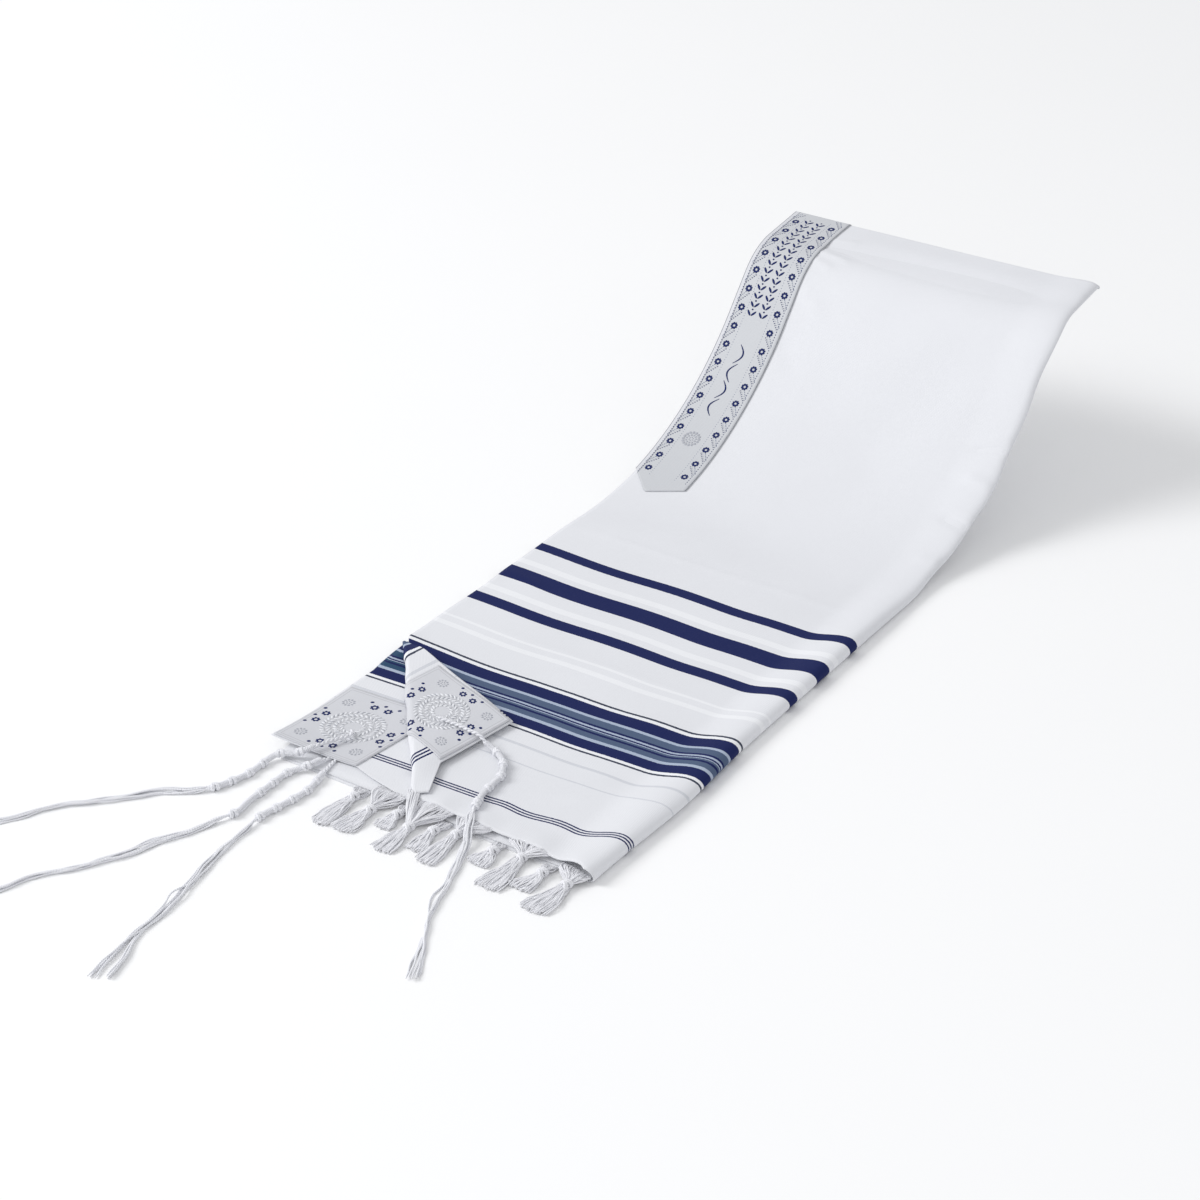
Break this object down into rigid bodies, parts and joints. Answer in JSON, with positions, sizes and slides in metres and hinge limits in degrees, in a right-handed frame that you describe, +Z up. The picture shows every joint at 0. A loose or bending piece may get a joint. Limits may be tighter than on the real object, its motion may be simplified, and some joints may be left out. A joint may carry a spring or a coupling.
{
  "type": "folded prayer shawl",
  "caption": "Prayer shawl folded in layers, flat at the fringed front and sweeping up at the far end, with a turned-up corner, neckband, corner patches and knotted corner cords.",
  "frame": {"origin": "middle of the base of the folded cloth and its fringe, on the surface it lies on, the loose corner cords left out", "axes": "+X across the strip from the open edge with the neckband to the lengthwise roll, +Y from the fringe to the raised end, +Z up"},
  "size_m": [0.4518, 1.1634, 0.1841],
  "materials": {
    "cloth": "matt woven wool with navy stripes",
    "band": "silvery woven band",
    "patch": "satin-weave patch",
    "yarn": "matt twisted wool yarn"
  },
  "bodies": {
    "root": {"cloth_under_layers": "cloth", "cloth_second_layer": "cloth", "cloth_top": "cloth", "cloth_turned_corner": "cloth", "neckband": "band", "corner_patch_second": "patch", "corner_patch_turned": "patch", "fringe_upper_1": "yarn", "fringe_upper_2": "yarn", "fringe_upper_3": "yarn", "fringe_upper_4": "yarn", "fringe_upper_5": "yarn", "fringe_lower_1": "yarn", "fringe_lower_2": "yarn", "fringe_lower_3": "yarn", "fringe_lower_4": "yarn", "fringe_lower_5": "yarn", "tzitzit_1": "yarn", "tzitzit_2": "yarn", "tzitzit_3": "yarn", "tzitzit_4": "yarn"}
  },
  "joints": []
}
